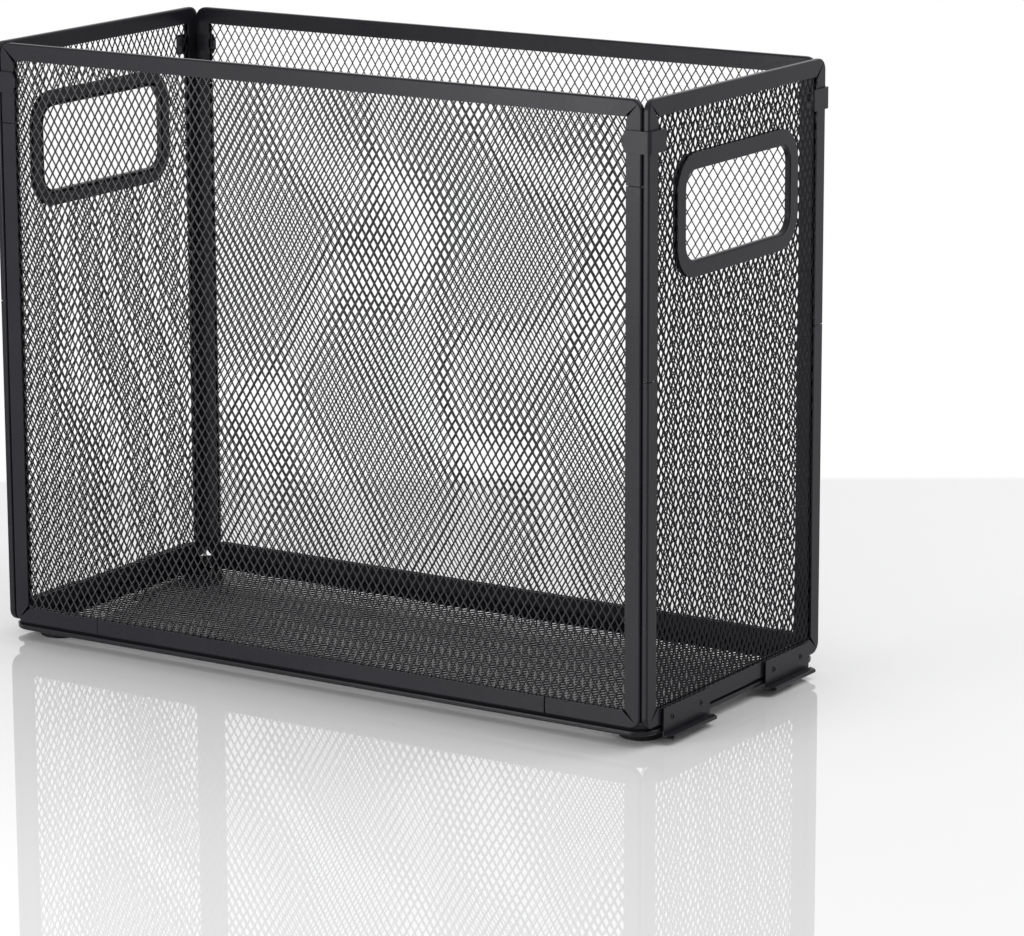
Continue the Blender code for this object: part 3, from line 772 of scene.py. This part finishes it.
def add_base():
    """The base frame, with its upper side and rim in a darker coat of painted shade, its mesh and four
    feet.
    """
    lay_down = (Matrix.Translation((0.0, -basket_depth / 2, base_bottom + base_thickness))
                @ Matrix.Rotation(-quarter_turn, 4, "X"))
    sheet_bm = folded_sheet(basket_length, basket_depth, base_face, base_thickness, base_edge_round,
                            base_corner_radius)
    join(sheet_bm, gap_rim())
    sheet_bm.normal_update()
    # Painted shade: the upper side and the rim take the near-black second coat.
    for part in sheet_bm.faces:
        part.material_index = int(part.normal.y < -square_on or part.calc_center_median().y < 0.0)
    hemmed = add_piece("base_hemmed_frame", sheet_bm, base_frame_shade_coat, "base", ["base_frame"],
                       lay_down, base_sheet, rim_soften)
    hemmed.data.materials.append(base_top_shade_coat)
    net = expanded_metal("base")
    bmesh.ops.translate(net, vec=(0.0, base_thickness / 2, basket_depth / 2), verts=net.verts)
    add_piece("base_mesh_panel", net, base_net_shade_coat, "base", ["base_mesh"], lay_down,
              smooth=base_net_sharp_angle)
    top = base_bottom - foot_top_gap
    profile = [(0.0, top), (foot_radius, top)]
    profile += [(foot_radius - inset, height) for inset, height in foot_profile]
    for side_y, row in ((-1, "front"), (1, "back")):
        for side_x, column in ((-1, "left"), (1, "right")):
            bm = turned(profile, foot_sides, Vector((0.0, 0.0, 1.0)))
            bmesh.ops.translate(bm, vec=(side_x * (basket_length / 2 - foot_from_end),
                                         side_y * (basket_depth / 2 - foot_from_front), 0.0),
                                verts=bm.verts)
            add_piece("rubber_foot_" + row + "_" + column, bm, foot_rubber, "base",
                      ["foot_" + row + "_" + column])


def add_basket():
    """All the pieces of the basket."""
    long_sheet = wall_sheet(long_wall_length)
    for side in ("front", "back"):
        long_wall(side, long_sheet, expanded_metal(side))
    end_sheet = wall_sheet(basket_depth)
    margin = ring_width * ring_cover
    hole = (Vector((0.0, 0.0, hand_hole_centre - wall_height / 2)), hand_hole_length / 2 + margin,
            hand_hole_height / 2 + margin, hand_hole_radius + margin)
    for side in ("left", "right"):
        end_wall(side, end_sheet, expanded_metal(side, hole))
    for bm in (long_sheet, end_sheet):
        bm.free()
    for side_y, row in ((-1, "front"), (1, "back")):
        for side_x, column in ((-1, "left"), (1, "right")):
            label = row + "_" + column
            add_coat("corner_strap_" + label, strap(side_x, side_y), "walls", ["strap_" + label],
                     sheet=strap_sheet)
    add_base()


# Camera at the photograph's viewing angle
camera_azimuth = math.radians(32.652)
camera_elevation = math.radians(13.108)
camera_roll = math.radians(-0.176)
camera_distance = 1.9179
camera_aside = (0.04394, 0.07129)
camera_sensor = 36.0
camera_lens = 4510.9 * camera_sensor / 1024.0
camera_clip = (0.05, 50.0)

# Stage. Beyond a short reach round the basket the floor glows a little whiter: painted light, which
# leaves the floor under and round the basket darker as painted shade. The floor fades into the
# background where the table ends in the photograph
floor_half = 6.0
floor_colour = (0.93, 0.93, 0.935, 1.0)
floor_index = 2.0
floor_roughness = 0.015
floor_painted_glow = 0.14
floor_glow_reach = 0.06
floor_fade = (0.315, 0.330)
world_fill = 0.56
white = (1.0, 1.0, 1.0, 1.0)
# For each lamp: its place, the point that it looks at, its size and its power
softboxes = {
    "overhead_softbox": ((0.95, 0.45, 1.30), (0.20, 0.0, 0.10), (1.20, 1.20), 11.0),
    "front_softbox": ((-0.25, -0.90, 0.25), (0.15, 0.0, 0.13), (0.40, 0.40), 3.5),
    "wide_front_softbox": ((-0.35, -0.95, 0.25), (0.10, 0.0, 0.13), (0.90, 0.40), 2.1),
}


def add_camera():
    """The camera, level with the photograph's, without shift."""
    back = Vector((math.sin(camera_azimuth) * math.cos(camera_elevation),
                   -math.cos(camera_azimuth) * math.cos(camera_elevation),
                   math.sin(camera_elevation)))
    flat_right = Vector((math.cos(camera_azimuth), math.sin(camera_azimuth), 0.0))
    flat_up = back.cross(flat_right)
    right = flat_right * math.cos(camera_roll) + flat_up * math.sin(camera_roll)
    up = flat_up * math.cos(camera_roll) - flat_right * math.sin(camera_roll)
    data = bpy.data.cameras.new("camera")
    data.sensor_width = camera_sensor
    data.lens = camera_lens
    data.clip_start, data.clip_end = camera_clip
    camera = bpy.data.objects.new("camera", data)
    bpy.context.collection.objects.link(camera)
    turn = Matrix((right, up, back)).transposed().to_4x4()
    location = back * camera_distance + right * camera_aside[0] + up * camera_aside[1]
    camera.matrix_world = Matrix.Translation(location + Vector((0.0, 0.0, wall_bottom))) @ turn
    bpy.context.scene.camera = camera


def background_share(nodes, links):
    """1 for rays that show the background and 0 for rays that light the scene."""
    path = nodes.new("ShaderNodeLightPath")
    share = path.outputs["Is Camera Ray"]
    for other in ("Is Glossy Ray", "Is Transmission Ray"):
        either = nodes.new("ShaderNodeMath")
        either.operation = "MAXIMUM"
        links.new(share, either.inputs[0])
        links.new(path.outputs[other], either.inputs[1])
        share = either.outputs["Value"]
    return share


def add_world():
    """A white background, which lights the scene at a lower strength."""
    world = bpy.data.worlds.new("studio")
    world.use_nodes = True
    nodes, links = world.node_tree.nodes, world.node_tree.links
    seen = nodes["Background"]
    seen.inputs["Color"].default_value = white
    lights = nodes.new("ShaderNodeBackground")
    lights.inputs["Color"].default_value = white
    lights.inputs["Strength"].default_value = world_fill
    mixed = nodes.new("ShaderNodeMixShader")
    links.new(background_share(nodes, links), mixed.inputs["Fac"])
    links.new(lights.outputs["Background"], mixed.inputs[1])
    links.new(seen.outputs["Background"], mixed.inputs[2])
    links.new(mixed.outputs["Shader"], nodes["World Output"].inputs["Surface"])
    bpy.context.scene.world = world


def calculate(nodes, links, operation, first, second):
    """A maths node on two values, each a socket or a number."""
    node = nodes.new("ShaderNodeMath")
    node.operation = operation
    for socket, value in zip(node.inputs, (first, second)):
        if isinstance(value, bpy.types.NodeSocket):
            links.new(value, socket)
        else:
            socket.default_value = value
    return node.outputs["Value"]


def rise(nodes, links, source, low, high, top):
    """Rises smoothly from 0 at the low value to the top at the high one."""
    mapped = nodes.new("ShaderNodeMapRange")
    mapped.interpolation_type = "SMOOTHSTEP"
    mapped.inputs["From Min"].default_value = low
    mapped.inputs["From Max"].default_value = high
    mapped.inputs["To Max"].default_value = top
    links.new(source, mapped.inputs["Value"])
    return mapped.outputs["Result"]


def white_share(nodes, links):
    """How much of the floor shows as white: none under the basket, a painted glow a little way out from it,
    and all of it far behind as background.
    """
    place = nodes.new("ShaderNodeTexCoord").outputs["Object"]
    split = nodes.new("ShaderNodeSeparateXYZ")
    links.new(place, split.inputs["Vector"])
    beyond = []
    for axis, half in (("X", basket_length / 2), ("Y", basket_depth / 2)):
        out = calculate(nodes, links, "ABSOLUTE", split.outputs[axis], 0.0)
        out = calculate(nodes, links, "SUBTRACT", out, half)
        beyond.append(calculate(nodes, links, "MAXIMUM", out, 0.0))
    squares = [calculate(nodes, links, "MULTIPLY", out, out) for out in beyond]
    away = calculate(nodes, links, "SQRT", calculate(nodes, links, "ADD", *squares), 0.0)
    # Painted light: the floor glows more away from the basket and not at all under it.
    near = rise(nodes, links, away, 0.0, floor_glow_reach, floor_painted_glow)
    behind = nodes.new("ShaderNodeVectorMath")
    behind.operation = "DOT_PRODUCT"
    behind.inputs[1].default_value = (-math.sin(camera_azimuth), math.cos(camera_azimuth), 0.0)
    links.new(place, behind.inputs[0])
    far = rise(nodes, links, behind.outputs["Value"], *floor_fade, 1.0)
    share = calculate(nodes, links, "MAXIMUM", near, far)
    return calculate(nodes, links, "MULTIPLY", share, background_share(nodes, links))


def add_floor():
    """A glossy white floor."""
    bm = bmesh.new()
    bmesh.ops.create_grid(bm, x_segments=1, y_segments=1, size=floor_half)
    mesh = bpy.data.meshes.new("floor")
    bm.to_mesh(mesh)
    bm.free()
    finish, nodes, links, shader = principled("glossy_white_floor", floor_roughness)
    shader.inputs["Base Color"].default_value = floor_colour
    shader.inputs["IOR"].default_value = floor_index
    glow = nodes.new("ShaderNodeEmission")
    mixed = nodes.new("ShaderNodeMixShader")
    links.new(white_share(nodes, links), mixed.inputs["Fac"])
    links.new(shader.outputs["BSDF"], mixed.inputs[1])
    links.new(glow.outputs["Emission"], mixed.inputs[2])
    links.new(mixed.outputs["Shader"], nodes["Material Output"].inputs["Surface"])
    mesh.materials.append(finish)
    floor = bpy.data.objects.new("floor", mesh)
    bpy.context.collection.objects.link(floor)


def add_light(name, location, target, size, power):
    """A soft light that looks at a point."""
    data = bpy.data.lights.new(name, "AREA")
    data.shape = "RECTANGLE"
    data.size, data.size_y = size
    data.energy = power
    light = bpy.data.objects.new(name, data)
    bpy.context.collection.objects.link(light)
    light.visible_camera = False
    light.location = location
    light.rotation_euler = (Vector(target) - Vector(location)).to_track_quat("-Z", "Y").to_euler()


def add_stage():
    """Floor, background and soft studio lights."""
    add_floor()
    add_world()
    for name, (location, target, size, power) in softboxes.items():
        add_light(name, location, target, size, power)
    bpy.context.scene.view_settings.view_transform = "Standard"


add_camera()
add_stage()
add_basket()
